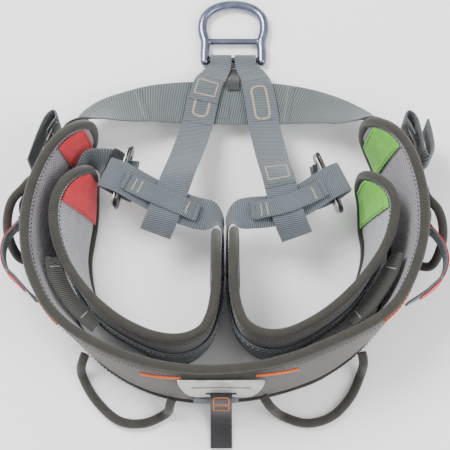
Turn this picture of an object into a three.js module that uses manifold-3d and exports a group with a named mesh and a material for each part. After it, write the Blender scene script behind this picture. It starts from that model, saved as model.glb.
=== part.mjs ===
// A tree climbing saddle laid out on a flat surface: a padded waist belt with two padded leg loops
// standing on edge inside it, and a front bridge of webbing that carries a steel attachment ring.
// +Z is up, +Y points to the wearer's front, and +X to the wearer's right. Units are millimetres.
// The laid-out places below are measured from the middle of the waist opening; the group is then
// moved so that its origin is at the middle of its footprint.
import * as THREE from "three";
import Module from "manifold-3d";
import { mergeVertices } from "three/addons/utils/BufferGeometryUtils.js";

// ---- driving sizes
const WEBBING = 2.2; // thickness of the load webbing
const GAP = 0.4; // air between pieces that touch
const BELT_WIDTH = 45;
const STRAP_WIDTH = 30; // leg webbing and the two legs of the bridge
const KEEPER_WIDTH = 17;
const SUSPENDER_WIDTH = 20;
const LOOP_WIDTH = 22; // the two loops at the hips
const LABEL_WIDTH = 20;
const BINDING = 4.6; // radius of the rolled edge binding
const LINER = 1.4; // thickness of the mesh lining
const SHELL = 1.8; // thickness of the outer cover
const GEAR_TUBE = 4.4; // radius of a gear loop
const RING_WIRE = 4.7; // radius of the attachment ring's bow
const RING_BAR = 3.2; // radius of its cross bar
const RING_STRAP = 21; // width of each bridge leg where it goes round the ring's pin
const RING_HEIGHT = 6; // height of the ring's middle plane above the surface
const FOOTPRINT_MIDDLE = [0, 18]; // x and y of the middle of the footprint in the layout below

// ---- small tools
const vec = (p) => new THREE.Vector3(...p);
const curve = (points) => new THREE.CatmullRomCurve3(points.map(vec), false, "centripetal");
const steps = (count, make) => Array.from({ length: count + 1 }, (_, i) => make(i / count));
const mixed = (a, b, share) => a + (b - a) * share;

const saddle = new THREE.Group();

function piece(name, geometry, [color, roughness, metalness = 0], parent = saddle) {
  const mesh = new THREE.Mesh(geometry, new THREE.MeshStandardMaterial({ color, roughness, metalness }));
  mesh.name = name;
  parent.add(mesh);
  return mesh;
}

// A closed solid through rings of points, each ring with the same count. A fan closes each end, or a
// strip between the two faces of a thin sheet.
function loft(rings, thin = false) {
  const count = rings[0].length;
  const end = (rings.length - 1) * count;
  const points = rings.flat();
  const faces = [];
  for (let k = 0; k < count; k++) {
    const next = (k + 1) % count;
    for (let i = 0; i + 1 < rings.length; i++) {
      const [a, b] = [i * count + k, i * count + next];
      faces.push(a, b, a + count, b, b + count, a + count);
    }
    if (thin) continue;
    const [first, last] = [end + count, end + count + 1];
    faces.push(first, next, k, last, end + k, end + next);
  }
  for (let k = 0; thin && k + 1 < count / 2; k++) {
    const [a, b] = [count - 1 - k, count - 2 - k];
    faces.push(k, a, k + 1, k + 1, a, b, end + k, end + k + 1, end + a, end + k + 1, end + b, end + a);
  }
  const centre = (ring) => ring.reduce((sum, p) => sum.add(p), new THREE.Vector3()).divideScalar(count);
  if (!thin) points.push(centre(rings[0]), centre(rings.at(-1)));
  let volume = 0;
  for (let f = 0; f < faces.length; f += 3)
    volume += points[faces[f]].dot(points[faces[f + 1]].clone().cross(points[faces[f + 2]]));
  if (volume < 0) faces.reverse();
  return new THREE.BufferGeometry().setFromPoints(points).setIndex(faces);
}

// A flat band of webbing. Each stop is [place, direction across the band, width if it changes].
// Only the share of its route from `from` to `to` is made, moved by `offset` off its own face.
function band(stops, width, { thick = WEBBING, offset = 0, from = 0, to = 1, count } = {}) {
  const line = curve(stops.map(([place]) => place));
  const across = curve(stops.map(([, direction]) => vec(direction).normalize().toArray()));
  const wide = curve(stops.map(([, , own = width]) => [own, 0, 0]));
  return loft(
    steps(count ?? 3 * (stops.length - 1), (share) => {
      const t = mixed(from, to, share);
      const [place, along] = [line.getPoint(t), line.getTangent(t)];
      const side = across.getPoint(t).addScaledVector(along, -across.getPoint(t).dot(along)).normalize();
      const out = along.clone().cross(side).normalize();
      const [w, h] = [wide.getPoint(t).x / 2, thick / 2];
      return [[w, h], [-w, h], [-w, -h], [w, -h]].map(([x, y]) =>
        place.clone().addScaledVector(side, x).addScaledVector(out, y + offset));
    }),
  );
}

// A round cord along a curve, with domed ends.
function cord(line, radius, count, sides = 8) {
  const frames = line.computeFrenetFrames(count);
  const ring = (t, frame, r, shift) =>
    Array.from({ length: sides }, (_, k) => {
      const turn = (2 * Math.PI * k) / sides;
      return line.getPointAt(t)
        .addScaledVector(frames.tangents[frame], shift)
        .addScaledVector(frames.normals[frame], r * Math.cos(turn))
        .addScaledVector(frames.binormals[frame], r * Math.sin(turn));
    });
  const rises = [Math.PI / 8, (3 * Math.PI) / 8];
  const dome = rises.map((rise) => [radius * Math.sin(rise), radius * Math.cos(rise)]);
  return loft([
    ...dome.map(([r, shift]) => ring(0, 0, r, -shift)),
    ...steps(count, (t) => ring(t, Math.round(t * count), radius, 0)),
    ...dome.toReversed().map(([r, shift]) => ring(1, count, r, shift)),
  ]);
}

// ---- cutting and joining solids
const wasm = await Module();
wasm.setup();

function solid(geometry) {
  const bare = mergeVertices(geometry.clone().deleteAttribute("normal").deleteAttribute("uv"), 1e-4);
  const vertProperties = Float32Array.from(bare.attributes.position.array);
  const triVerts = Uint32Array.from(bare.index.array);
  return new wasm.Manifold(new wasm.Mesh({ numProp: 3, vertProperties, triVerts }));
}

function geometryOf(manifold) {
  const { vertProperties, triVerts } = manifold.getMesh();
  const geometry = new THREE.BufferGeometry().setIndex([...triVerts]);
  return geometry.setAttribute("position", new THREE.BufferAttribute(vertProperties, 3));
}

// ---- pads
// A pad stands on edge. Each row is [x, y] of its upper edge and [x, y] of its lower edge, going
// anticlockwise seen from above, so that its outer face is on the right hand of the way it runs.
class Pad {
  constructor({ rows, top, bottom, ...sizes }) {
    this.upper = curve(rows.map(([[x, y]]) => [x, y, top]));
    this.lower = curve(rows.map(([, [x, y]]) => [x, y, bottom]));
    this.middle = curve(rows.map(([[a, b], [c, d]]) => [(a + c) / 2, (b + d) / 2, (top + bottom) / 2]));
    this.middle.arcLengthDivisions = 400;
    this.length = this.middle.getLength();
    Object.assign(this, sizes);
  }
  // How much of its full height the pad has at a distance from its start: its ends are rounded.
  rounding(distance, inset = 0) {
    const end = Math.min(distance, this.length - distance) - inset;
    const share = Math.max(0, Math.min(1, end / (this.round - inset)));
    return Math.sqrt(1 - (1 - share) ** 2);
  }
  thickness(distance) {
    const share = Math.min(1, Math.min(distance, this.length - distance) / this.taper);
    return mixed(this.endThick, this.thick, share);
  }
  frame(distance) {
    const t = this.middle.getUtoTmapping(distance / this.length);
    const half = this.upper.getPoint(t).sub(this.lower.getPoint(t)).divideScalar(2);
    const out = this.middle.getTangent(t).cross(half).normalize();
    return { place: this.middle.getPoint(t), half, out };
  }
  // The point at a distance along, at a share up from the middle line (-1 to 1) of the outline drawn
  // in by the inset, and moved outwards.
  at(distance, up, outwards, inset = 0) {
    const { place, half, out } = this.frame(distance);
    const reach = up * (half.length() - inset) * this.rounding(distance, inset);
    return place.addScaledVector(half.normalize(), reach).addScaledVector(out, outwards);
  }
  // The distances of a loft's rings, closer together near the rounded ends.
  stations(count, inset) {
    return steps(count, (t) => {
      const eased = mixed(t, (1 - Math.cos(Math.PI * t)) / 2, 0.6);
      return mixed(inset, this.length - inset, eased);
    });
  }
}

const CORE_SIDES = 8;

function foam(pad, count) {
  const inset = BINDING + GAP + 1.4;
  return loft(
    pad.stations(count, BINDING).slice(1, -1).map((distance) => {
      const depth = pad.thickness(distance) / 2 - SHELL - 2 * GAP;
      return Array.from({ length: CORE_SIDES }, (_, k) => {
        const turn = (2 * Math.PI * (k + 0.5)) / CORE_SIDES;
        const up = Math.sign(Math.cos(turn)) * Math.abs(Math.cos(turn)) ** 0.7;
        const outwards = Math.sign(Math.sin(turn)) * Math.abs(Math.sin(turn)) ** 0.8;
        return pad.at(distance, up, outwards * depth, inset);
      });
    }),
  );
}

// A sheet on one face of a pad (side 1 outside, -1 inside), between two distances and two shares of
// the height. It bows with the pad: flat over the middle and drawn in towards the binding.
function sheet(pad, { from, to, low = -1, high = 1, side, lift, thick, count, rows = 4 }) {
  const bow = (up) => 1 - 0.45 * Math.abs(up) ** 2.5;
  const inset = BINDING + 1.6;
  const between = pad.stations(count, BINDING).filter((d) => d > from + 3 && d < to - 3);
  return loft(
    [from, ...between, to].map((distance) => {
      const rise = pad.thickness(distance) / 2 - SHELL;
      const point = (up, extra) => pad.at(distance, up, side * (rise * bow(up) + lift + extra), inset);
      const ups = steps(rows, (share) => mixed(low, high, share));
      return [...ups.map((up) => point(up, 0)), ...ups.toReversed().map((up) => point(up, thick))];
    }),
    true,
  );
}

// The binding goes once round the pad's outline. Its two ends meet half way along the lower edge.
function binding(pad, count) {
  const end = 0.4;
  const round = (share) => {
    const lap = (((share % 1) + 1) % 1) * 2;
    const run = lap < 1 ? lap : 2 - lap;
    const distance = mixed(end, pad.length - end, mixed(run, (1 - Math.cos(Math.PI * run)) / 2, 0.8));
    return pad.at(distance, lap < 1 ? 1 : -1, 0).toArray();
  };
  const outline = curve(steps(count, (t) => round(mixed(0.7525, 1.7475, t))));
  return cord(outline, BINDING, count, 6);
}

// ---- colours: [colour, roughness, metalness]
const GREY_WEBBING = [0x4a5054, 0.85];
const DARK_WEBBING = [0x33332f, 0.9];
const BINDING_TAPE = [0x37352f, 0.9];
const MESH_LINING = [0x8b8a90, 0.95];
const COVER = [0x5a5655, 0.85];
const FOAM = [0x2a2a2c, 0.95];
const STEEL = [0x8d8f9c, 0.28, 1];
const DARK_ALLOY = [0x5c5a58, 0.4, 0.8];
const PLATE_ALLOY = [0xa5a5a2, 0.35, 0.9];
const RED_TAPE = [0xd11f38, 0.8];
const GREEN_TAPE = [0x6cc52c, 0.8];

function paddedPart(name, pad, tape, { rings, turns, tabs }) {
  const ends = { from: 12, to: pad.length - 12 };
  piece(`${name}_foam`, foam(pad, rings), FOAM);
  const lining = { ...ends, side: -1, lift: GAP, thick: LINER, count: rings };
  piece(`${name}_mesh_lining`, sheet(pad, lining), MESH_LINING);
  const cover = { ...ends, side: 1, lift: GAP, thick: SHELL, count: rings };
  piece(`${name}_cover`, sheet(pad, cover), COVER);
  piece(`${name}_binding`, binding(pad, turns), BINDING_TAPE);
  for (const [tab, atStart, colour] of tabs) {
    const [from, to] = atStart ? [tape.near, tape.far] : [pad.length - tape.far, pad.length - tape.near];
    const lift = 2 * GAP + LINER + 0.2;
    const patch = { from, to, low: -0.9, high: 0.9, side: -1, lift, thick: 1, count: rings };
    piece(tab, sheet(pad, patch), colour);
  }
}

// ---- waist belt
const waist = new Pad({
  top: 97, bottom: 5, thick: 13, endThick: 10, taper: 96, round: 48,
  rows: [
    [[-129, 96], [-120, 84]], [[-150, 74], [-136, 70]], [[-171, 38], [-151, 36]], [[-181, -4], [-158, -4]],
    [[-178, -46], [-158, -42]], [[-154, -95], [-141, -90]], [[-105, -128], [-103, -132]],
    [[-54, -144], [-53, -155]], [[-4, -147], [-3, -159]], [[46, -140], [46, -152]], [[97, -121], [97, -132]],
    [[150, -90], [142, -89]], [[177, -36], [158, -34]], [[181, 8], [160, 8]], [[173, 48], [153, 44]],
    [[156, 80], [139, 75]], [[137, 98], [126, 87]],
  ],
});
paddedPart("waist", waist, { near: 17, far: 38 }, {
  rings: 34, turns: 72, tabs: [["waist_tab_left", true, RED_TAPE], ["waist_tab_right", false, GREEN_TAPE]],
});

// ---- leg loops
const LEG_RINGS = 26;
const LEG_PAD = { top: 90, bottom: 5, thick: 13, endThick: 8.5, taper: 170, round: 44 };
const legs = {
  left: new Pad({
    ...LEG_PAD,
    rows: [
      [[-132.5, 51.5], [-118.5, 46.5]], [[-147, 34], [-123, 31]], [[-156, 4], [-127, 1]],
      [[-150, -34], [-131, -34]],
      [[-124, -76], [-119, -78]], [[-84, -107], [-82, -106]], [[-45, -118], [-45, -124]],
      [[-19, -108], [-23, -112]], [[-9.4, -80], [-11, -80]], [[-7.8, -44], [-9.8, -44]],
      [[-7.8, -11], [-9.6, -11]],
    ],
  }),
  right: new Pad({
    ...LEG_PAD,
    rows: [
      [[7.8, -9], [9.6, -9]], [[7.8, -44], [9.8, -44]], [[9.4, -80], [11, -80]],
      [[19, -105], [23, -110]], [[44, -114], [45, -119]], [[82, -100], [80, -100]], [[122, -66], [117, -70]],
      [[150, -22], [134, -24]], [[155, 12], [131, 8]], [[149, 28], [130, 24]], [[133, 46], [122, 40]],
    ],
  }),
};

for (const [side, tape] of [["left", RED_TAPE], ["right", GREEN_TAPE]]) {
  const tabs = [[`leg_tab_${side}`, side === "left", tape]];
  paddedPart(`leg_pad_${side}`, legs[side], { near: 14, far: 40 }, { rings: LEG_RINGS, turns: 52, tabs });
}

// Directions across a band
const UPRIGHT = [0, 0, 1];
const FLAT = [0, 1, 0];
const upright = (places) => places.map((place) => [place, UPRIGHT]);
const edgeDown = (places) => places.map((place) => [place, [0, 0, -1]]);

// ---- where each piece lies. Every place is [x, y, z]. A route's widths and directions follow its place.
const LAYOUT = {
  left: {
    beltEnd: [[-146, 93, 44], [-156, 79, 45], [-164, 62, 45]],
    tail: [[-167, 84], [-162, 93], [-158.5, 99], [-161, 104.5], [-167, 101], [-175, 84], [-184, 56]],
    beltBuckle: { place: [-163.5, 78, 46], turn: 1.18 },
    rearLoop: {
      from: 232, to: 318,
      by: [[-134, -137, 6], [-121, -160, 5.8], [-98, -180, 5.6], [-75, -182, 5.6], [-55, -173, 6]],
    },
    sideLoop: {
      from: 66, to: 136,
      by: [[-187, 30, 64], [-198, 18, 61], [-203, 2, 53], [-202, -14, 42], [-193, -30, 33]],
    },
    webLoop: {
      from: 104, to: 178,
      by: [[-192, -8, 62], [-201, -19, 62], [-204, -34, 62], [-200, -48, 62], [-189, -60, 62]],
    },
    anchor: { from: 58, to: 98, by: [[-186, 32, 38], [-192, 17, 37], [-190, 4, 37]] },
    suspender: [
      [[-158, -40, 76], [-0.5, -0.1, 0.9]], [[-153.5, -56, 75], [-0.7, -0.2, 0.7]],
      [[-144, -74, 73], [-0.6, -0.4, 0.7]],
      [[-131.5, -90, 71], [-0.5, -0.6, 0.7]], [[-117, -103, 67], [-0.4, -0.5, 0.8]],
    ],
    bridge: [
      [-4, 178], [-4.6, 169, 11.4, 21], [-11, 157.5, 16.6, 26.5], [-16, 148, 21.6, 29],
      [-22, 126, 24.6, 30], [-27, 103, 28, 30],
      [-36, 70, 44, 30], [-44, 43, 61.5, 30], [-51, 22, 64.4, 30], [-58, 2, 64.4, 30], [-65, -12, 54, 30],
    ],
    legStrap: [
      [-82, 32, 53], [-95, 38, 52.2], [-106, 44, 53.2], [-112.5, 47, 57.5], [-107, 44, 63], [-95, 38.5, 64.6],
      [-78, 29.5, 61.5], [-60, 20, 60], [-43, 12, 60], [-26, 6.5, 58], [-14, 5.5, 54.5], [-5, 0, 51],
      [-2.3, -11, 49],
    ],
    keeper: [
      [-92, 35, 67.6], [-84, 31, 67.4], [-72, 25, 68], [-60, 19.5, 68.2], [-46, 13.4, 68], [-36, 9.5, 66.9],
      [-27, 6.3, 61.6],
    ],
    buckle: { place: [-96.4, 44, 50], run: [0.26, 0.965, 0] },
    adjust: {
      from: [64, 36, 12], sleeve: 18,
      by: [[-131, 61.5, 48], [-118, 61.5, 48], [-104.5, 54.3, 47.6], [-93, 47, 47.6], [-83, 45.4, 47.6]],
    },
  },
  right: {
    beltEnd: [[149, 95, 44], [161, 84, 45], [170, 68, 45]],
    tail: [
      [178, 82], [173.5, 92], [170, 99], [173, 104], [179, 100], [184, 84], [187, 66], [191, 60], [195, 66],
      [194, 82], [191, 96],
    ],
    beltBuckle: { place: [174, 77, 46], turn: -1.25 },
    rearLoop: {
      from: 497, to: 402,
      by: [[127, -137, 6], [117, -158, 5.8], [99, -176, 5.6], [76, -182, 5.6], [53, -175, 6]],
    },
    sideLoop: {
      from: 656, to: 590,
      by: [[187, 22, 64], [198, 9, 61], [203, -6, 53], [202, -22, 42], [193, -38, 33]],
    },
    webLoop: {
      from: 616, to: 546,
      by: [[191, -13, 62], [200, -26, 62], [203, -41, 62], [198, -56, 62], [186, -68, 62]],
    },
    anchor: { from: 664, to: 626, by: [[187, 24, 38], [192, 9, 37], [190, -4, 37]] },
    suspender: [
      [[158, -36, 76], [0.5, -0.1, 0.9]], [[150.5, -53, 75], [0.7, -0.2, 0.7]],
      [[140.5, -70, 73], [0.6, -0.4, 0.7]],
      [[129, -85, 71], [0.5, -0.6, 0.7]], [[114, -98, 67], [0.4, -0.5, 0.8]],
    ],
    bridge: [
      [20, 178], [20.8, 169, 11.4, 21], [27.6, 157, 16.8, 26], [31, 147, 21.8, 29], [35, 124, 26, 30],
      [38, 101, 30, 30],
      [44, 68, 45, 30], [50, 40, 62.4, 30], [55, 18, 64.6, 30], [60, -1, 65, 30], [67, -15, 54, 30],
    ],
    legStrap: [
      [81, 25, 53], [94, 31, 52.2], [105, 38, 53.2], [111.5, 42, 57.5], [106, 39, 63], [94, 32, 64.6],
      [78, 22, 61.5], [60, 13, 60], [43, 8, 60], [26, 7, 58], [14, 6.5, 54.5], [5, 1.5, 51], [2.3, -9, 49],
    ],
    keeper: [
      [91, 28, 67.6], [83, 24, 67.4], [71, 18.5, 68], [59, 13.5, 68.4], [46, 10, 69], [36, 8.4, 67],
      [27, 7.5, 61.6],
    ],
    buckle: { place: [96.5, 38, 50], run: [-0.38, 0.925, 0] },
    adjust: {
      from: [64, 36, 12], sleeve: 18,
      by: [[136, 57.5, 48], [124, 61.5, 48], [108, 53, 47.6], [92, 41.5, 47.6], [82, 40, 47.6]],
    },
  },
};

// ---- front belt
const beltStops = [
  ...edgeDown(LAYOUT.left.beltEnd.toReversed()), [[-131, 107, 40], [-0.35, 0.4, -0.85]],
  [[-112, 116, 34], [-0.15, 0.7, -0.65]], [[-90, 122, 28], [-0.1, 0.85, -0.5]],
  [[-66, 127, 23], [0, 0.94, -0.32]],
  [[-34, 128.5, 20], [0, 1, -0.12]], [[0, 128.5, 19.6], [0, 1, -0.1]], [[38, 127.5, 20.4], [0, 1, -0.12]],
  [[68, 125, 23], [0, 0.94, -0.32]], [[92, 120, 28], [0.1, 0.85, -0.5]], [[114, 113, 34], [0.15, 0.7, -0.65]],
  [[135, 106, 40], [0.35, 0.4, -0.85]], ...edgeDown(LAYOUT.right.beltEnd),
];
piece("belt_webbing", band(beltStops, BELT_WIDTH, { count: 48 }), GREY_WEBBING);

// ---- attachment ring, with its fixed bar and the pin that carries the bridge
const PIN = { from: -24, to: 40.4, y: 178, radius: 2.7 };
const rod = (radius, from, to, y) =>
  new THREE.CylinderGeometry(radius, radius, to - from, 12)
    .rotateZ(Math.PI / 2)
    .translate((from + to) / 2, y, RING_HEIGHT);

function ring() {
  const bow = [
    [-20, 176.5], [-20, 186], [-19.6, 197], [-22.6, 210], [-20.5, 223], [-10.5, 232.5], [8.2, 236.5],
    [27, 232.5],
    [37, 223], [39, 210], [36, 197], [36.4, 186], [36.4, 176.5],
  ];
  const wire = solid(cord(curve(bow.map(([x, y]) => [x, y, RING_HEIGHT])), RING_WIRE, 36, 12));
  const bar = solid(rod(RING_BAR, -20, 36.4, 197.5));
  const hole = solid(rod(PIN.radius + GAP, PIN.from - 6, PIN.to + 6, PIN.y));
  return geometryOf(wire.add(bar).subtract(hole));
}
piece("ring", ring(), STEEL);
piece("ring_pin", rod(PIN.radius, PIN.from, PIN.to, PIN.y), DARK_ALLOY);

// ---- bridge: two legs of webbing round the pin and a short tie between them
function bridgeLeg([[x, y], ...stops]) {
  const around = PIN.radius + GAP + WEBBING / 2;
  const turn = [0, 45, 90, 135, 180].map((angle) => {
    const rad = THREE.MathUtils.degToRad(angle);
    return [x, y + around * Math.sin(rad), RING_HEIGHT - around * Math.cos(rad), RING_STRAP];
  });
  const route = [[x, y - 12, RING_HEIGHT - around + 0.6, RING_STRAP], ...turn, ...stops];
  return band(route.map(([a, b, c, wide]) => [[a, b, c], [1, 0, 0], wide]), STRAP_WIDTH, { count: 48 });
}
for (const side of ["left", "right"])
  piece(`bridge_${side}`, bridgeLeg(LAYOUT[side].bridge), GREY_WEBBING);

const tieRoute = [[8.2, 170, 6], [8.2, 162, 9], [8.2, 154.5, 16.4], [8.2, 150, 20.7], [8.2, 141, 22]];
piece("bridge_tie", band(tieRoute.map((place) => [place, [1, 0, 0]]), 11.4), DARK_WEBBING);

// ---- straps of the leg loops
// A band that lies face up: across it is square to its own run.
const faceUp = (places) =>
  places.map((place, i) => {
    const [a, b] = [places[Math.max(0, i - 1)], places[Math.min(places.length - 1, i + 1)]];
    const run = new THREE.Vector2(b[0] - a[0], b[1] - a[1]).normalize();
    return [place, [-run.y, run.x, 0]];
  });

// A strap's places on a pad's outer cover, at distances from the pad's own start.
const onCover = (pad, distances, slack) =>
  distances.map((distance) => {
    const out = pad.thickness(distance) / 2 + 2 * GAP + WEBBING / 2 + slack;
    return [pad.at(distance, 0, out).toArray(), pad.frame(distance).half.normalize().toArray()];
  });

// The leg strap lies face up from its buckle to the middle, then turns on edge beside the pad's end.
function legStrap(places, pad, side) {
  const away = side === "left" ? 1 : -1;
  const innerEnd = (distance) => (side === "left" ? pad.length - distance : distance);
  const turned = [[0.4 * away, 0.85, -0.25], [0.12 * away, 0.6, -0.75], [0, 0.1, -1]];
  const stops = places.map((place, i) => {
    const late = i - (places.length - turned.length);
    return [place, late < 0 ? [0.42 * away, 0.9, 0] : turned[late]];
  });
  const downwards = ([place, up]) => [place, up.map((v) => -v)];
  const flush = onCover(pad, [innerEnd(24), innerEnd(42)], 0.3).map(downwards);
  return band([...stops, ...flush], STRAP_WIDTH, { count: 44 });
}

// A buckle plate with one long slot and round ends, standing on edge along `run`.
function bucklePlate({ place, run }, { long, high, thick, slotLong, slotHigh, shift = 0 }) {
  const outline = new THREE.Shape();
  const [w, h] = [long / 2, high / 2];
  const r = h * 0.8;
  outline.moveTo(-w + r, -h);
  outline.lineTo(w - r, -h);
  outline.quadraticCurveTo(w, -h, w, 0);
  outline.quadraticCurveTo(w, h, w - r, h);
  outline.lineTo(-w + r, h);
  outline.quadraticCurveTo(-w, h, -w, 0);
  outline.quadraticCurveTo(-w, -h, -w + r, -h);
  const slot = new THREE.Path();
  const [a, b] = [slotLong / 2, slotHigh / 2];
  slot.moveTo(-a, -b).lineTo(-a, b).lineTo(a, b).lineTo(a, -b).lineTo(-a, -b);
  outline.holes.push(slot);
  const plate = new THREE.ExtrudeGeometry(outline, { depth: thick, bevelEnabled: false, curveSegments: 5 });
  const [along, up] = [vec(run).normalize(), new THREE.Vector3(0, 0, 1)];
  const facing = along.clone().cross(up);
  const turn = new THREE.Matrix4().makeBasis(along, up, facing).setPosition(vec(place));
  return plate.translate(0, 0, shift - thick / 2).applyMatrix4(turn);
}

for (const side of ["left", "right"]) {
  const [lay, pad] = [LAYOUT[side], legs[side]];
  const fromTip = (distance) => (side === "left" ? distance : pad.length - distance);
  piece(`leg_strap_${side}`, legStrap(lay.legStrap, pad, side), GREY_WEBBING);
  const keeper = band(faceUp(lay.keeper), KEEPER_WIDTH, { thick: 1.6, count: 18 });
  piece(`leg_keeper_${side}`, keeper, GREY_WEBBING);
  const start = onCover(pad, lay.adjust.from.map(fromTip), 1.7);
  const [leaving, turning, ...flat] = lay.adjust.by;
  const rising = [[leaving, [0, 0.2, 1]], [turning, [0, 0.5, 0.85]]];
  const adjust = [...start, ...rising, ...flat.map((place) => [place, FLAT])];
  piece(`leg_adjuster_${side}`, band(adjust, STRAP_WIDTH, { count: 30 }), GREY_WEBBING);
  const at = lay.adjust.sleeve;
  const around = { thick: 5.8, from: at / 30, to: (at + 4) / 30, count: 4 };
  const inside = { thick: 3.6, from: (at - 1) / 30, to: (at + 5) / 30, count: 6 };
  const [outer, inner] = [band(adjust, STRAP_WIDTH + 4, around), band(adjust, STRAP_WIDTH + 1, inside)];
  piece(`leg_sleeve_${side}`, geometryOf(solid(outer).subtract(solid(inner))), DARK_WEBBING);
  const frame = { long: 62, high: 24, thick: 2.6, slotLong: 44, slotHigh: 10.8, shift: 1.6 };
  piece(`leg_buckle_frame_${side}`, bucklePlate(lay.buckle, frame), DARK_ALLOY);
  const slider = { long: 60, high: 21, thick: 1.6, slotLong: 43, slotHigh: 9.5, shift: -1.6 };
  piece(`leg_buckle_slider_${side}`, bucklePlate(lay.buckle, slider), PLATE_ALLOY);
  const tape = { from: fromTip(72), to: fromTip(pad.length - 48), low: -0.8, high: 0.3, side: 1 };
  if (tape.from > tape.to) [tape.from, tape.to] = [tape.to, tape.from];
  Object.assign(tape, { lift: 2 * GAP + SHELL, thick: WEBBING, count: LEG_RINGS, rows: 3 });
  piece(`leg_band_${side}`, sheet(pad, tape), GREY_WEBBING);
}

// ---- loops, straps and buckles on the waist belt
const waistCover = (distance, up, extra) =>
  waist.at(distance, up, waist.thickness(distance) / 2 + 2 * GAP + extra).toArray();
const leaning = (distance) => waist.frame(distance).half.normalize().toArray();

function gearLoop({ from, to, by }, startUp, endUp) {
  const ends = [waistCover(from, startUp, 1.8 * GEAR_TUBE), waistCover(to, endUp, 1.8 * GEAR_TUBE)];
  return cord(curve([ends[0], ...by, ends[1]]), GEAR_TUBE, 28);
}

// A band that leaves the cover, bows outwards and comes back to it.
const bowed = ({ from, to, by }, up) => [
  [waistCover(from, up, 4.2), leaning(from)],
  ...upright(by),
  [waistCover(to, up, 4.2), leaning(to)],
];

for (const side of ["left", "right"]) {
  const lay = LAYOUT[side];
  piece(`gear_loop_rear_${side}`, gearLoop(lay.rearLoop, -0.55, -0.55), DARK_WEBBING);
  piece(`gear_loop_side_${side}`, gearLoop(lay.sideLoop, 0.35, -0.4), DARK_WEBBING);
  const loop = bowed(lay.webLoop, 0.25);
  piece(`side_loop_${side}`, band(loop, LOOP_WIDTH, { count: 24 }), GREY_WEBBING);
  const inward = side === "left" ? 1 : -1;
  const lining = { thick: 1, offset: inward * (WEBBING / 2 + GAP + 0.5), from: 0.1, to: 0.9, count: 20 };
  piece(`side_loop_lining_${side}`, band(loop, LOOP_WIDTH - 3, lining), RED_TAPE);
  piece(`side_anchor_${side}`, band(bowed(lay.anchor, -0.15), STRAP_WIDTH, { count: 14 }), GREY_WEBBING);
  piece(`suspender_${side}`, band(lay.suspender, SUSPENDER_WIDTH, { count: 20 }), DARK_WEBBING);
  const tail = upright(lay.tail.map(([x, y]) => [x, y, 46]));
  piece(`belt_tail_${side}`, band(tail, BELT_WIDTH, { count: 30 }), GREY_WEBBING);
}

// ---- back of the waist belt
const BACK = 359; // distance along the waist pad to the middle of its back
const onShell = 2 * GAP + SHELL;
const backPatch = (half, low, high, lift, thick) =>
  sheet(waist, { from: BACK - half, to: BACK + half, low, high, side: 1, lift, thick, count: 60 });
piece("back_webbing", backPatch(21, -0.95, -0.42, onShell, WEBBING), GREY_WEBBING);

// The back plate is flat, a little narrower at its foot, with a long slot and a wide slot below it.
const PLATE = { width: 78, foot: 46, height: 44, thick: 2.6, middle: [-3.5, -158.2, 68], lean: 9 };

function backPlate() {
  const outline = new THREE.Shape();
  const [top, foot, h] = [PLATE.width / 2, PLATE.foot / 2, PLATE.height / 2];
  outline.moveTo(-foot, -h);
  outline.lineTo(foot, -h);
  outline.bezierCurveTo(foot + 10, -h, top, h - 14, top, h);
  outline.lineTo(-top, h);
  outline.bezierCurveTo(-top, h - 14, -foot - 10, -h, -foot, -h);
  for (const [wide, low, high] of [[54, 3, 6.5], [27, -15, -9]]) {
    const slot = new THREE.Path();
    const side = wide / 2;
    slot.moveTo(-side, low).lineTo(-side, high).lineTo(side, high).lineTo(side, low).lineTo(-side, low);
    outline.holes.push(slot);
  }
  const extrusion = { depth: PLATE.thick, bevelEnabled: false, curveSegments: 5 };
  const plate = new THREE.ExtrudeGeometry(outline, extrusion);
  const lean = THREE.MathUtils.degToRad(90 - PLATE.lean);
  return plate.rotateX(lean).translate(...PLATE.middle);
}
piece("back_plate", backPlate(), PLATE_ALLOY);

// The certificate label hangs from the plate's lower slot and lies out on the surface.
const labelRoute = [
  [-161, 56], [-166, 54.6], [-168.6, 48], [-169.4, 38], [-171, 24], [-175, 11], [-184, 4], [-195, 2.4],
  [-205, 2],
].map(([y, z]) => [[-3.5, y, z], [1, 0, 0]]);
piece("label", band(labelRoute, LABEL_WIDTH, { thick: 1.6, count: 24 }), DARK_WEBBING);

// A buckle stands on end at each hip, where the belt's end doubles back over itself.
for (const side of ["left", "right"]) {
  const { place, turn } = LAYOUT[side].beltBuckle;
  const frame = { long: 58, high: 34, thick: 2.4, slotLong: 48, slotHigh: 9 };
  const flat = bucklePlate({ place: [0, 0, 0], run: [1, 0, 0] }, frame);
  piece(`belt_buckle_${side}`, flat.rotateY(Math.PI / 2).rotateZ(turn).translate(...place), DARK_ALLOY);
}

saddle.position.set(-FOOTPRINT_MIDDLE[0], -FOOTPRINT_MIDDLE[1], 0);

export default saddle;
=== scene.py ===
"""A tree climbing saddle: padded belt and leg loops, webbing, gear loops and metal fittings."""

import math

import bmesh
import bpy
import numpy as np
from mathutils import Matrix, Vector
from mathutils.noise import noise


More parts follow.
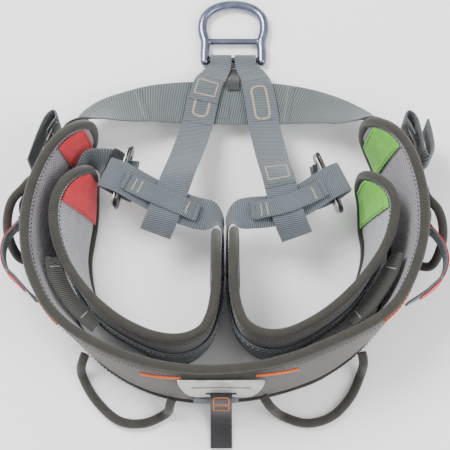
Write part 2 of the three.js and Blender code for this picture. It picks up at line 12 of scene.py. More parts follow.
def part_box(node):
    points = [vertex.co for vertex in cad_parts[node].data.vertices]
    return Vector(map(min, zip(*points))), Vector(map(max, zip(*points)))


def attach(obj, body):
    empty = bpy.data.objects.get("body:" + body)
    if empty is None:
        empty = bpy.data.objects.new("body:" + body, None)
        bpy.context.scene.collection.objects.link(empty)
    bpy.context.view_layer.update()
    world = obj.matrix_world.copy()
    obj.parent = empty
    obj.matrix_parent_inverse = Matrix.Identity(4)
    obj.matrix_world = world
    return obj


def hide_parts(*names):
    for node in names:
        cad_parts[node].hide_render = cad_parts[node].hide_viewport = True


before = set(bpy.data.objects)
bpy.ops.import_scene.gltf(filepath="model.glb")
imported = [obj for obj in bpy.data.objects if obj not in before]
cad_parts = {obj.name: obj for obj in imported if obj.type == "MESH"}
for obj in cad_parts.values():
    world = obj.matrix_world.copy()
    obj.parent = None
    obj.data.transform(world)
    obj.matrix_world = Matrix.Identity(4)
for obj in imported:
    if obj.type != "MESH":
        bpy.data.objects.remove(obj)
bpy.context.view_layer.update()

MM = 0.001
BINDING = 4.6 * MM  # radius of the rolled edge binding
SHELL = 1.8 * MM  # thickness of the outer cover
GAP = 0.4 * MM  # air between neighbouring CAD solids
HARNESS = "harness"


# ---- camera, light and floor
def add_camera():
    target = Vector((0, -0.018, 0.040))
    elevation = math.radians(75)
    away = 1.5
    camera = bpy.data.cameras.new("camera")
    camera.sensor_width = 36
    camera.lens = 127.6
    obj = bpy.data.objects.new("camera", camera)
    obj.location = target + away * Vector((0, -math.cos(elevation), math.sin(elevation)))
    obj.rotation_euler = (target - obj.location).to_track_quat("-Z", "Y").to_euler()
    bpy.context.scene.collection.objects.link(obj)
    bpy.context.scene.camera = obj


def add_light(name, place, size, power):
    light = bpy.data.lights.new(name, "AREA")
    light.shape = "DISK"
    light.size = size
    light.energy = power
    obj = bpy.data.objects.new(name, light)
    obj.location = place
    obj.rotation_euler = (-Vector(place)).to_track_quat("-Z", "Y").to_euler()
    bpy.context.scene.collection.objects.link(obj)


def add_world(colour, strength):
    world = bpy.data.worlds.new("studio")
    bpy.context.scene.world = world
    world.use_nodes = True
    background = world.node_tree.nodes["Background"]
    background.inputs["Color"].default_value = colour
    background.inputs["Strength"].default_value = strength


# ---- materials
def linear(code):
    """The linear colour of a six-digit code."""
    parts = [int(code[i:i + 2], 16) / 255 for i in (0, 2, 4)]
    return tuple(p / 12.92 if p <= 0.04045 else ((p + 0.055) / 1.055) ** 2.4 for p in parts) + (1.0,)


class Shader:
    """A material made of nodes, with short calls for what the patterns need."""

    def __init__(self, name, **settings):
        self.material = bpy.data.materials.new(name)
        self.material.use_nodes = True
        self.nodes = self.material.node_tree.nodes
        self.surface = self.nodes["Principled BSDF"]
        for socket, value in settings.items():
            self.surface.inputs[socket.replace("_", " ")].default_value = value

    def feed(self, socket, value):
        if isinstance(value, bpy.types.NodeSocket):
            self.material.node_tree.links.new(value, socket)
        else:
            socket.default_value = value

    def node(self, kind, inputs, output=0, **settings):
        node = self.nodes.new(kind)
        for key, value in settings.items():
            setattr(node, key, value)
        for socket, value in inputs.items():
            self.feed(node.inputs[socket], value)
        return node.outputs[output]

    def math(self, operation, a, b=0.0, c=0.0):
        return self.node("ShaderNodeMath", {0: a, 1: b, 2: c}, operation=operation)

    def mix(self, share, a, b):
        return self.node("ShaderNodeMix", {0: share, 6: a, 7: b}, output=2, data_type="RGBA")

    def cloth(self):
        """Metres along and across the piece."""
        uv = self.node("ShaderNodeUVMap", {}, uv_map="cloth")
        split = self.nodes.new("ShaderNodeSeparateXYZ")
        self.feed(split.inputs[0], uv)
        return split.outputs[0], split.outputs[1]

    def place(self):
        return self.node("ShaderNodeTexCoord", {}, output=3)

    def wave(self, distance, pitch, shift=0.0):
        """0 to 1 and back once in each pitch."""
        turned = self.math("MULTIPLY_ADD", distance, 2 * math.pi / pitch, shift)
        return self.math("MULTIPLY_ADD", self.math("SINE", turned), 0.5, 0.5)

    def speckle(self, size, detail=3.0):
        inputs = {"Vector": self.place(), "Scale": 1 / size, "Detail": detail}
        return self.node("ShaderNodeTexNoise", inputs)

    def finish(self, colour, height=None, depth=0.3 * MM, rough=None):
        self.feed(self.surface.inputs["Base Color"], colour)
        if rough is not None:
            self.feed(self.surface.inputs["Roughness"], rough)
        if height is not None:
            bump = self.node("ShaderNodeBump", {"Height": height, "Distance": depth, "Strength": 1.0})
            self.feed(self.surface.inputs["Normal"], bump)
        return self.material


def webbing(name, dark, light, pitch=2.1 * MM, tilt=0.18, **settings):
    """Ribs across the strap, slightly slanted, with fine threads along it."""
    shader = Shader(name, Roughness=0.82, Sheen_Weight=0.25, Sheen_Roughness=0.5, **settings)
    along, across = shader.cloth()
    slanted = shader.math("MULTIPLY_ADD", across, tilt, along)
    wobble = shader.math("MULTIPLY_ADD", shader.speckle(6 * MM), 0.5 * MM, slanted)
    rib = shader.math("POWER", shader.wave(wobble, pitch), 0.8)
    thread = shader.wave(across, 1.2 * MM)
    height = shader.math("MULTIPLY_ADD", thread, 0.25, rib)
    tone = shader.math("MULTIPLY_ADD", shader.speckle(25 * MM), 0.25, shader.math("MULTIPLY", height, 0.68))
    return shader.finish(shader.mix(tone, linear(dark), linear(light)), height, 0.6 * MM)


def ribbed_tape(name, dark, light, pitch, **settings):
    """Narrow ribs straight across a tape."""
    shader = Shader(name, Roughness=0.85, Sheen_Weight=0.2, Sheen_Roughness=0.5, **settings)
    along, across = shader.cloth()
    rib = shader.wave(along, pitch)
    tone = shader.math("MULTIPLY_ADD", shader.speckle(9 * MM), 0.55, shader.math("MULTIPLY", rib, 0.45))
    return shader.finish(shader.mix(tone, linear(dark), linear(light)), rib, 0.3 * MM)


def hexagon_mesh(name, hole, thread, pitch):
    """Open spacer mesh: round holes at the corners and middle of each cell."""
    shader = Shader(name, Roughness=0.8, Sheen_Weight=0.3, Sheen_Roughness=0.4)
    along, across = shader.cloth()

    def distance(shift):
        parts = []
        for way, size in ((along, pitch), (across, pitch * math.sqrt(3))):
            cell = shader.math("MULTIPLY_ADD", way, 1 / size, shift)
            middle = shader.math("SUBTRACT", shader.math("FRACT", cell), 0.5)
            parts.append(shader.math("POWER", shader.math("MULTIPLY", middle, size / pitch), 2.0))
        return shader.math("SQRT", shader.math("ADD", *parts))

    near = shader.math("MINIMUM", distance(0.0), distance(0.5))
    open_share = shader.math("SMOOTH_MIN", shader.math("MULTIPLY", near, 2.4), 1.0, 0.2)
    tone = shader.math("MULTIPLY_ADD", shader.speckle(12 * MM), 0.35, shader.math("MULTIPLY", open_share, 0.75))
    return shader.finish(shader.mix(tone, linear(hole), linear(thread)), open_share, 0.8 * MM)


def herringbone_mesh(name, dark, light, row, pitch):
    """Rows of slanted openings that lean the other way in every second row."""
    shader = Shader(name, Roughness=0.75, Sheen_Weight=0.3, Sheen_Roughness=0.4)
    along, across = shader.cloth()
    zigzag = shader.math("PINGPONG", across, row)
    slanted = shader.math("MULTIPLY_ADD", zigzag, 1.0, along)
    rib = shader.wave(slanted, pitch)
    channel = shader.wave(across, row, math.pi / 2)
    height = shader.math("MULTIPLY_ADD", channel, 0.5, rib)
    tone = shader.math("MULTIPLY_ADD", shader.speckle(12 * MM), 0.2, shader.math("MULTIPLY", rib, 0.8))
    return shader.finish(shader.mix(tone, linear(dark), linear(light)), height, 0.7 * MM)


def plain_weave(name, dark, light, thread, **settings):
    """Threads over and under one another both ways."""
    shader = Shader(name, Roughness=0.8, Sheen_Weight=0.25, Sheen_Roughness=0.5, **settings)
    along, across = shader.cloth()
    weave = shader.math("MULTIPLY", shader.wave(along, thread), shader.wave(across, thread))
    tone = shader.math("MULTIPLY_ADD", shader.speckle(14 * MM), 0.8, shader.math("MULTIPLY", weave, 0.35))
    return shader.finish(shader.mix(tone, linear(dark), linear(light)), weave, 0.2 * MM)


def twisted_thread(name, dark, light):
    shader = Shader(name, Roughness=0.6, Sheen_Weight=0.2)
    tone = shader.speckle(1.5 * MM)
    return shader.finish(shader.mix(tone, linear(dark), linear(light)), tone, 0.1 * MM)


def metal(name, dark, light, rough, brushed=0.06):
    """Metal with faint brushing, and wear that varies its gloss."""
    shader = Shader(name, Metallic=1.0)
    spots = shader.speckle(9 * MM)
    grain = shader.node("ShaderNodeTexNoise", {"Vector": shader.place(), "Scale": 900.0, "Detail": 2.0})
    polish = shader.math("MULTIPLY_ADD", spots, brushed * 2, rough)
    return shader.finish(shader.mix(spots, linear(dark), linear(light)), grain, 0.03 * MM, polish)


BELT = webbing("belt_webbing", "0f1213", "6a7376", pitch=2.3 * MM)
STRAP = webbing("strap_webbing", "121517", "68727a", pitch=1.8 * MM)
DARK_STRAP = webbing("dark_webbing", "0c0c0b", "46453f", pitch=1.9 * MM)
EDGE_TAPE = ribbed_tape("edge_tape", "0e0d0b", "3a372f", 1.6 * MM)
SLEEVE_TAPE = ribbed_tape("loop_sleeve", "100f0d", "3f3c36", 1.3 * MM)
ELASTIC = ribbed_tape("elastic", "0a0a0a", "35363a", 1.8 * MM)
SATIN = ribbed_tape("satin_tape", "0c0c0d", "3c3d40", 1.0 * MM)
LABEL_TAPE = ribbed_tape("label_tape", "141414", "36363a", 1.3 * MM)
RED = ribbed_tape("red_tape", "8c0a1c", "ee1834", 2.2 * MM)
GREEN = ribbed_tape("green_tape", "2f8a10", "7ddb34", 2.2 * MM)
ORANGE = ribbed_tape("orange_piping", "c2431a", "ff7a3a", 1.6 * MM)
WAIST_MESH = hexagon_mesh("waist_mesh", "0b0a0b", "98949a", 3.4 * MM)
LEG_MESH = herringbone_mesh("leg_mesh", "101113", "d2d4da", 9.0 * MM, 2.9 * MM)
COVER = plain_weave("cover_fabric", "1a1716", "4f4944", 1.5 * MM)
BEIGE = twisted_thread("beige_thread", "877a68", "cdbda2")
BLACK = twisted_thread("black_thread", "0b0b0b", "26262a")
LIGHT = twisted_thread("light_thread", "77777b", "b9b9bd")
PRINT = twisted_thread("orange_print", "c05a20", "ff8c44")
RING_STEEL = metal("ring_steel", "50566a", "8b90a4", 0.16)
DARK_ALLOY = metal("dark_alloy", "2d2c2b", "5a5856", 0.3)
PLATE_ALLOY = metal("plate_alloy", "8a8a88", "c9c9c6", 0.28)


# ---- reading the CAD solids
def ring_points(node, count):
    """The rings of points that a long CAD solid was made through. A fan closes each of its ends."""
    mesh = bmesh.new()
    mesh.from_mesh(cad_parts[node].data)
    bmesh.ops.remove_doubles(mesh, verts=mesh.verts, dist=0.02 * MM)
    near = {v: {e.other_vert(v) for e in v.link_edges} for v in mesh.verts}
    fans = [v for v in mesh.verts if len(near[v]) == count and all(len(near[w]) == 5 for w in near[v])]
    fans.sort(key=lambda v: tuple(v.co))
    seen = {fans[0]}
    layer = near[fans[0]]
    rings = []
    while len(layer) == count:
        ring = [min(layer, key=lambda v: tuple(v.co))]
        while len(ring) < count:
            ring.append(next(v for v in near[ring[-1]] & layer if v not in ring))
        points = np.array([v.co for v in ring])
        if rings:
            ways = [np.roll(p, shift, axis=0) for p in (points, points[::-1]) for shift in range(count)]
            points = min(ways, key=lambda p: np.sum((p - rings[-1]) ** 2))
        rings.append(points)
        seen |= layer
        layer = {w for v in layer for w in near[v]} - seen
    mesh.free()
    return np.array(rings)


def smoothed(points, shares):
    """Points on smooth curves through rows of points, at row numbers that may be fractions."""
    padded = np.concatenate([2 * points[:1] - points[1:2], points, 2 * points[-1:] - points[-2:-1]])
    row = np.clip(np.floor(shares).astype(int), 0, len(points) - 2)
    f = (shares - row).reshape((-1,) + (1,) * (points.ndim - 1))
    a, b, c, d = (padded[row + i] for i in range(4))
    return 0.5 * (2 * b + (c - a) * f + (2 * a - 5 * b + 4 * c - d) * f**2 + (3 * b - a - 3 * c + d) * f**3)


def evenly(points, step):
    """The same curves with rows an equal distance apart, and each row's distance from the first."""
    fine = smoothed(points, np.linspace(0, len(points) - 1, 8 * len(points)))
    middle = fine.mean(axis=1) if fine.ndim == 3 else fine
    run = np.concatenate([[0], np.cumsum(np.linalg.norm(np.diff(middle, axis=0), axis=1))])
    at = np.linspace(0, run[-1], max(3, round(run[-1] / step) + 1))
    shares = np.interp(at, run, np.linspace(0, len(points) - 1, len(fine)))
    return smoothed(points, shares), at


def unit(v):
    return v / np.linalg.norm(v, axis=-1, keepdims=True)


def add_piece(name, mesh, materials, body=HARNESS, stands_for=(), slot=None):
    obj = bpy.data.objects.new(name, mesh)
    bpy.context.scene.collection.objects.link(obj)
    for material in materials:
        mesh.materials.append(material)
    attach(obj, body)
    if stands_for:
        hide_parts(*stands_for)
    return obj


def loft(name, rings, along, around, face_material=None):
    """A closed mesh through rings, with the cloth's metres along and around it as its UV map."""
    count, sides = rings.shape[:2]
    cells = [(i, j) for i in range(count - 1) for j in range(sides)]
    faces = [
        (i * sides + j, i * sides + (j + 1) % sides, (i + 1) * sides + (j + 1) % sides, (i + 1) * sides + j)
        for i, j in cells
    ]
    ends = [tuple(range(sides))[::-1], tuple(range((count - 1) * sides, count * sides))]
    mesh = bpy.data.meshes.new(name)
    mesh.from_pydata(rings.reshape(-1, 3).tolist(), [], faces + ends)
    layer = mesh.uv_layers.new(name="cloth")
    corners = [
        (along[a], around[b])
        for i, j in cells
        for a, b in ((i, j), (i, j + 1), (i + 1, j + 1), (i + 1, j))
    ]
    corners += [(along[row], around[j]) for row in (0, -1) for j in range(sides)]
    layer.data.foreach_set("uv", np.array(corners, dtype=float).ravel())
    if face_material is not None:
        wanted = [face_material(j) for i, j in cells] + [0, 0]
        mesh.polygons.foreach_set("material_index", wanted)
    mesh.polygons.foreach_set("use_smooth", [True] * len(mesh.polygons))
    bm = bmesh.new()
    bm.from_mesh(mesh)
    bmesh.ops.recalc_face_normals(bm, faces=bm.faces)
    bm.to_mesh(mesh)
    bm.free()
    mesh.set_sharp_from_angle(angle=math.radians(60))
    return mesh


# ---- stitches
class Stitching:
    """Many short stitches in one mesh. Each is a spindle between two points."""

    SIDES = 5

    def __init__(self, name, material, body=HARNESS):
        self.name, self.material, self.body = name, material, body
        self.points, self.faces = [], []

    def add(self, start, end, out, radius):
        along = unit(end - start)
        side = unit(np.cross(along, out))
        base = len(self.points)
        self.points.append(start)
        for share in (0.25, 0.75):
            for k in range(self.SIDES):
                turn = 2 * math.pi * k / self.SIDES
                offset = radius * (math.cos(turn) * side + math.sin(turn) * out)
                self.points.append(start + share * (end - start) + offset)
        self.points.append(end)
        last = base + 1 + 2 * self.SIDES
        for k in range(self.SIDES):
            a, b = base + 1 + k, base + 1 + (k + 1) % self.SIDES
            side = (a, b, b + self.SIDES, a + self.SIDES)
            self.faces += [(base, b, a), side, (last, a + self.SIDES, b + self.SIDES)]

    def row(self, surface, path, pitch=3.2 * MM, length=2.1 * MM, radius=0.35 * MM):
        """Stitches end to end along a path given as [distance along, distance across] corners."""
        for start, end in zip(*self.cut(path, pitch, length)):
            (a, out, _), (b, _, _) = surface.point(*start), surface.point(*end)
            self.add(a + 0.1 * MM * out, b + 0.1 * MM * out, out, radius)

    def zigzag(self, surface, path, wide=3.0 * MM, pitch=0.8 * MM, radius=0.3 * MM):
        """Dense stitches to and fro across a path."""
        places, _ = self.cut(path, pitch, pitch)
        for i, (here, there) in enumerate(zip(places, places[1:])):
            way = unit(there - here)
            across = np.array([-way[1], way[0]]) * wide / 2
            first, second = (here - across, there + across) if i % 2 else (here + across, there - across)
            (a, out, _), (b, _, _) = surface.point(*first), surface.point(*second)
            self.add(a + 0.15 * MM * out, b + 0.15 * MM * out, out, radius)

    @staticmethod
    def cut(path, pitch, length):
        path = np.array(path, dtype=float)
        run = np.concatenate([[0], np.cumsum(np.linalg.norm(np.diff(path, axis=0), axis=1))])
        at = np.arange(0, run[-1] - length / 2, pitch)
        place = lambda d: np.stack([np.interp(d, run, path[:, i]) for i in (0, 1)], axis=1)
        return place(at), place(at + length)

    def finish(self):
        mesh = bpy.data.meshes.new(self.name)
        mesh.from_pydata([tuple(p) for p in self.points], [], self.faces)
        mesh.polygons.foreach_set("use_smooth", [True] * len(mesh.polygons))
        return add_piece(self.name, mesh, [self.material], self.body)


def box_path(along, across, long, wide, corner=0.0, steps=4):
    """A closed rectangle, with rounded corners if asked, round a middle place on a strap."""
    path = []
    for quarter, (a, b) in enumerate(((1, 1), (-1, 1), (-1, -1), (1, -1))):
        for k in range(steps + 1):
            turn = math.pi / 2 * (quarter + k / steps)
            path.append([
                along + a * (long / 2 - corner) + corner * math.cos(turn),
                across + b * (wide / 2 - corner) + corner * math.sin(turn),
            ])
    return path + path[:1]


beige = Stitching("beige_stitching", BEIGE)
black = Stitching("black_stitching", BLACK)
light = Stitching("light_stitching", LIGHT)


# ---- straps
class Band:
    """A strap read off its CAD solid. Its outer face faces `toward` at a share of its length."""

    EDGE = 0.9

    def __init__(self, node, toward, share=0.5, flip=False, step=1.6 * MM):
        rings = ring_points(node, 4)
        wide = np.linalg.norm(rings[:, 0] - rings[:, 1], axis=1).mean()
        thick = np.linalg.norm(rings[:, 1] - rings[:, 2], axis=1).mean()
        if wide < thick:
            rings = np.roll(rings, -1, axis=1)
        if flip:
            rings = rings[::-1]
        row = int(share * (len(rings) - 1))
        out = rings[row, 0] + rings[row, 1] - rings[row, 2] - rings[row, 3]
        if np.dot(out, toward) < 0:
            rings = rings[:, ::-1]
        self.node = node
        self.rings, self.at = evenly(rings, step)
        self.length = self.at[-1]
        self.middle = self.rings.mean(axis=1)
        self.side = (self.rings[:, 0] + self.rings[:, 3] - self.rings[:, 1] - self.rings[:, 2]) / 2
        self.half = np.linalg.norm(self.side, axis=1) / 2
        self.side = unit(self.side)
        lift = (self.rings[:, 0] + self.rings[:, 1] - self.rings[:, 2] - self.rings[:, 3]) / 2
        self.thick = np.linalg.norm(lift, axis=1)
        self.out = unit(lift)

    def point(self, along, across, lift=0.0):
        """A place on the outer face, and the ways out of and along it."""
        row = np.interp(along, self.at, np.arange(len(self.at)))
        i = int(min(row, len(self.at) - 2))
        f = row - i
        blend = lambda values: values[i] * (1 - f) + values[i + 1] * f
        out = unit(blend(self.out))
        place = blend(self.middle) + blend(self.side) * across + out * (blend(self.thick) / 2 + lift)
        return place, out, unit(self.middle[i + 1] - self.middle[i])

    def section(self, columns, swell=0.0):
        """Each row's outline: across the outer face, round one edge, back across the inner face."""
        shares = np.linspace(-self.EDGE, self.EDGE, columns)
        outline = [(x, 1.0) for x in shares] + [(1.0, 0.45), (1.0, -0.45)]
        outline += [(x, -1.0) for x in shares[::-1]] + [(-1.0, -0.45), (-1.0, 0.45)]
        rings = []
        for row, middle in enumerate(self.middle):
            x = np.array([a for a, _ in outline])[:, None] * self.half[row]
            z = np.array([b for _, b in outline])[:, None] * (self.thick[row] / 2 + swell)
            ripple = 0.12 * MM * noise(Vector(middle * 60))
            rings.append(middle + self.side[row] * x + self.out[row] * (z + ripple))
        across = [a * self.half.mean() for a, _ in outline]
        return np.array(rings), across + across[:1]

    def make(self, name, material, slot, body=HARNESS, stands_for=None, columns=7, swell=0.0):
        rings, around = self.section(columns, swell)
        mesh = loft(name, rings, self.at, around)
        replaced = [self.node] if stands_for is None else stands_for
        return add_piece(name, mesh, [material], body, replaced, slot)


UP = np.array([0, 0, 1.0])


def outwards(node):
    """The level way from the middle of the saddle to a node."""
    low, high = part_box(node)
    way = np.array((low + high) / 2) * (1, 1, 0)
    return way / np.linalg.norm(way)


# ---- pads
class Pad:
    """A padded part read off its foam and binding. Distances run along it, shares run from foot to top."""

    def __init__(self, name, start, round_end):
        foam = ring_points(f"{name}_foam", 8)
        if np.linalg.norm(foam[0].mean(axis=0) - start) > np.linalg.norm(foam[-1].mean(axis=0) - start):
            foam = foam[::-1]
        rim = ring_points(f"{name}_binding", 6).mean(axis=1)
        self.rim, _ = evenly(rim, 1.0 * MM)
        centre, _ = evenly(foam.mean(axis=1), 4 * MM)
        shares = np.linspace(0, len(foam) - 1, len(centre))
        depth = np.array([np.ptp((ring - ring.mean(axis=0)) @ self.thin_way(ring)) / 2 for ring in foam])
        depth = np.interp(shares, np.arange(len(foam)), depth) / 0.94
        ahead = unit(np.gradient(centre, axis=0))
        centre, ahead, depth = self.with_tips(centre, ahead, depth, round_end)
        cuts = [self.cut(c, a) for c, a in zip(centre, ahead)]
        self.low = np.array([low for low, _ in cuts])
        self.high = np.array([high for _, high in cuts])
        self.middle = (self.low + self.high) / 2
        self.at = np.concatenate([[0], np.cumsum(np.linalg.norm(np.diff(self.middle, axis=0), axis=1))])
        self.length = self.at[-1]
        self.up = unit(self.high - self.low)
        self.half = np.linalg.norm(self.high - self.low, axis=1) / 2
        self.ahead = ahead
        self.out = unit(np.cross(ahead, self.up))
        self.depth = depth + SHELL + 2 * GAP

    @staticmethod
    def thin_way(ring):
        spread = ring - ring.mean(axis=0)
        return np.linalg.svd(spread)[2][1]

    def with_tips(self, centre, ahead, depth, round_end):
        """More rows towards each tip, where the foam ends short of the binding."""
        for end, way in ((0, -1), (-1, 1)):
            tip = self.rim[np.argmax((self.rim - centre[end]) @ (way * ahead[end])
                                     - 1e3 * (np.linalg.norm(self.rim - centre[end], axis=1) > 60 * MM))]
            reach = (tip - centre[end]) @ (way * ahead[end])
            shares = np.array([0.3, 0.55, 0.75, 0.88]) if way > 0 else np.array([0.88, 0.75, 0.55, 0.3])
            level = np.array([(tip - centre[end])[0], (tip - centre[end])[1], 0])
            extra = centre[end] + shares[:, None] * level * (reach - round_end) / reach
            rows = (np.repeat(ahead[end][None], 4, axis=0), np.repeat(depth[end], 4))
            if way < 0:
                joined = ((extra, centre), (rows[0], ahead), (rows[1], depth))
                centre, ahead, depth = (np.concatenate(p) for p in joined)
            else:
                joined = ((centre, extra), (ahead, rows[0]), (depth, rows[1]))
                centre, ahead, depth = (np.concatenate(p) for p in joined)
        return centre, ahead, depth

    def cut(self, centre, ahead):
        """Where the binding's middle line passes the plane across the pad: its foot and its top."""
        near = np.linalg.norm(self.rim - centre, axis=1) < 70 * MM
        off = (self.rim - centre) @ ahead
        crossing = np.nonzero((off[:-1] * off[1:] <= 0) & near[:-1])[0]
        places = []
        for i in crossing:
            share = off[i] / (off[i] - off[i + 1] + 1e-12)
            places.append(self.rim[i] + share * (self.rim[i + 1] - self.rim[i]))
        places.sort(key=lambda p: p[2])
        return places[0], places[-1]

    def surface(self, side, lift=0.0):
        return PadFace(self, side, lift)

    def reach(self, node):
        """The distances and shares of the height that a sheet on this pad covers."""
        points = np.array([v.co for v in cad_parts[node].data.vertices])
        row = np.array([np.argmin(np.linalg.norm(self.middle - p, axis=1)) for p in points])
        share = np.sum((points - self.middle[row]) * self.up[row], axis=1) / (self.half[row] - BINDING - 1.6 * MM)
        return self.at[row.min()], self.at[row.max()], share.min(), share.max()


class PadFace:
    """One face of a pad: side 1 is outside and -1 inside."""

    def __init__(self, pad, side, lift):
        self.pad, self.side, self.lift = pad, side, lift

    def bow(self, share):
        return 1 - 0.45 * abs(share) ** 2.5

    def point(self, along, share, lift=0.0):
        pad = self.pad
        row = np.interp(along, pad.at, np.arange(len(pad.at)))
        i = int(min(row, len(pad.at) - 2))
        f = row - i
        blend = lambda values: values[i] * (1 - f) + values[i + 1] * f
        out = unit(blend(pad.out)) * self.side
        reach = max(blend(pad.half) - BINDING - 1.6 * MM, 0)
        height = (blend(pad.depth) - SHELL) * self.bow(share) + self.lift + lift
        return blend(pad.middle) + unit(blend(pad.up)) * share * reach + out * height, out, unit(blend(pad.ahead))

    def scaled(self, height):
        """The same face for paths given in metres across instead of shares of the height."""
        return Scaled(self, height)


class Scaled:
    def __init__(self, face, half):
        self.face, self.half = face, half

    def point(self, along, across, lift=0.0):
        return self.face.point(along, across / self.half, lift)


COLUMNS = np.linspace(-1, 1, 13)
TAB_END = 8 * MM  # how much further than its solid a tab runs, under the binding at the tip


def pad_rings(pad):
    """Each row of a pad's closed form: up the cover, over the rim, down the lining, under the foot."""
    cover, lining = pad.surface(1, GAP + SHELL - 1.0 * MM), pad.surface(-1, GAP + 0.6 * MM)
    rings = []
    for i, along in enumerate(pad.at):
        outside = [cover.point(along, share)[0] for share in COLUMNS]
        inside = [lining.point(along, share)[0] for share in COLUMNS[::-1]]
        inset = min(2.5 * MM, pad.half[i] * 0.3)
        top, foot = pad.high[i] - pad.up[i] * inset, pad.low[i] + pad.up[i] * inset
        rings.append(outside + [top] + inside + [foot])
    return np.array(rings)


def puffed(obj, held, cap):
    """Blows the pad up as cloth between the places where it is sewn down, by no more than the cap."""
    start = np.array([v.co for v in obj.data.vertices])
    group = obj.vertex_groups.new(name="sewn")
    group.add(held, 1.0, "REPLACE")
    cloth = obj.modifiers.new("cloth", "CLOTH")
    cloth.settings.quality = 5
    cloth.settings.vertex_group_mass = "sewn"
    cloth.settings.use_pressure = True
    cloth.settings.uniform_pressure_force = 3.0
    cloth.settings.tension_stiffness = 12
    cloth.settings.compression_stiffness = 12
    cloth.settings.bending_stiffness = 0.4
    cloth.settings.effector_weights.gravity = 0
    cloth.point_cache.frame_start, cloth.point_cache.frame_end = 1, 16
    scene = bpy.context.scene
    for moment in range(1, 17):
        scene.frame_set(moment)
    shape = obj.evaluated_get(bpy.context.evaluated_depsgraph_get()).to_mesh()
    end = np.array([v.co for v in shape.vertices])
    move = end - start
    size = np.linalg.norm(move, axis=1, keepdims=True)
    move *= np.minimum(1, cap / np.maximum(size, 1e-9))
    obj.modifiers.remove(cloth)
    obj.vertex_groups.remove(group)
    obj.data.vertices.foreach_set("co", (start + move).ravel())
    obj.data.update()
    scene.frame_set(1)


def make_pad(pad, name, lining, lining_slot, seams=()):
    rings = pad_rings(pad)
    sides = rings.shape[1]
    first_inside = len(COLUMNS)
    heights = np.linalg.norm(np.diff(rings, axis=1, append=rings[:, :1]), axis=2).mean(axis=0)
    around = np.concatenate([[0], np.cumsum(heights)])
    mesh = loft(f"{name}_pad", rings, pad.at, around, lambda j: 1 if first_inside <= j < 2 * first_inside else 0)
    stands = [f"{name}_foam", f"{name}_mesh_lining", f"{name}_cover"]
    obj = add_piece(f"{name}_pad", mesh, [COVER, lining], stands_for=stands, slot="cover_fabric")
    rows = len(rings)
    edges = (0, first_inside - 1, first_inside, sides - 2, sides - 1, first_inside + 1)
    sewn = {i * sides + j for i in range(rows) for j in edges}
    sewn |= {i * sides + j for i in (0, 1, rows - 2, rows - 1) for j in range(sides)}
    sewn |= {int(np.argmin(abs(pad.at - at))) * sides + j for at in seams for j in range(sides)}
    puffed(obj, sorted(sewn), 0.9 * MM)
    smooth = obj.modifiers.new("smooth", "SUBSURF")
    smooth.levels = smooth.render_levels = 1
    return obj


def patch(pad, node, name, material, slot, side, lift, thick=1.0 * MM, columns=9, step=2.5 * MM, full=False):
    """A flat tape or web on a pad's face, over the stretch that its CAD solid covers."""
    start, end, low, high = pad.reach(node)
    low, high = (-1, 1) if full else (max(low, -1), min(high, 1))
    if full:
        start, end = (start - TAB_END, end) if start < pad.length / 2 else (start, end + TAB_END)
    face = pad.surface(side, lift)
    shares = np.linspace(low, high, columns)
    rows = np.linspace(start, end, max(3, round((end - start) / step)))
    rings = []
    for along in rows:
        under = [face.point(along, s)[0] for s in shares[::-1]]
        over = [face.point(along, s, thick * (0.55 if k in (0, columns - 1) else 1))[0] for k, s in enumerate(shares)]
        rings.append(over + under)
    rings = np.array(rings)
    tall = np.linalg.norm(rings[len(rings) // 2, columns - 1] - rings[len(rings) // 2, 0])
    across = list(np.linspace(0, tall, columns)) + list(np.linspace(tall, 0, columns)) + [0]
    mesh = loft(name, rings, rows, across)
    return add_piece(name, mesh, [material], stands_for=[node], slot=slot), (start, end, low, high)


def tube(name, middle, radius, material, body=HARNESS, stands_for=(), slot=None, sides=14, flat=1.0, up=UP):
    """A round cord through places an equal distance apart. `radius` may vary from row to row."""
    middle = np.array(middle)
    ahead = unit(np.gradient(middle, axis=0))
    run = np.concatenate([[0], np.cumsum(np.linalg.norm(np.diff(middle, axis=0), axis=1))])
    radius = np.broadcast_to(radius, len(middle))
    flat = np.broadcast_to(flat, len(middle))
    side = unit(np.cross(ahead[0], up))
    rings = []
    for row, place in enumerate(middle):
        side = unit(side - ahead[row] * np.dot(side, ahead[row]))
        lift = np.cross(side, ahead[row])
        turns = np.linspace(0, 2 * math.pi, sides, endpoint=False)
        ring = [math.cos(t) * side + math.sin(t) * lift * flat[row] for t in turns]
        rings.append(place + radius[row] * np.array(ring))
    around = np.linspace(0, 2 * math.pi * radius.mean(), sides + 1)
    return add_piece(name, loft(name, np.array(rings), run, around), [material], body, stands_for, slot)


def make_binding(name):
    middle, at = evenly(ring_points(f"{name}_binding", 6).mean(axis=1), 2 * MM)
    radius = [BINDING * (0.97 + 0.05 * noise(Vector(p * 45))) for p in middle]
    replaced = [f"{name}_binding"]
    return tube(f"{name}_edge", middle, np.array(radius), EDGE_TAPE, stands_for=replaced, slot="binding_tape")


def edge_seams(pad, stitching, side, inset=0.97):
    """A row of stitches just inside the binding, along the top and the foot."""
    face = pad.surface(side, GAP + SHELL * (side > 0) + 0.7 * MM)
    for share in (-inset, inset):
        stitching.row(face, [[pad.at[5], share], [pad.at[-6], share]], pitch=4 * MM, length=2.6 * MM)


# ---- what is made
add_camera()
add_world((1.0, 1.0, 1.0, 1.0), 1.15)
add_light("key", (-0.9, 0.7, 1.9), 1.0, 62)
add_light("fill", (1.2, -0.5, 1.6), 1.4, 26)

bpy.ops.mesh.primitive_plane_add(size=8, location=(0, 0, -0.0008))
floor = bpy.context.object
floor.name = "floor"
paper = Shader("floor_paper", Roughness=0.9)
tint = paper.mix(paper.speckle(0.4), (0.93, 0.93, 0.93, 1), (0.96, 0.96, 0.96, 1))
floor.data.materials.append(paper.finish(tint))

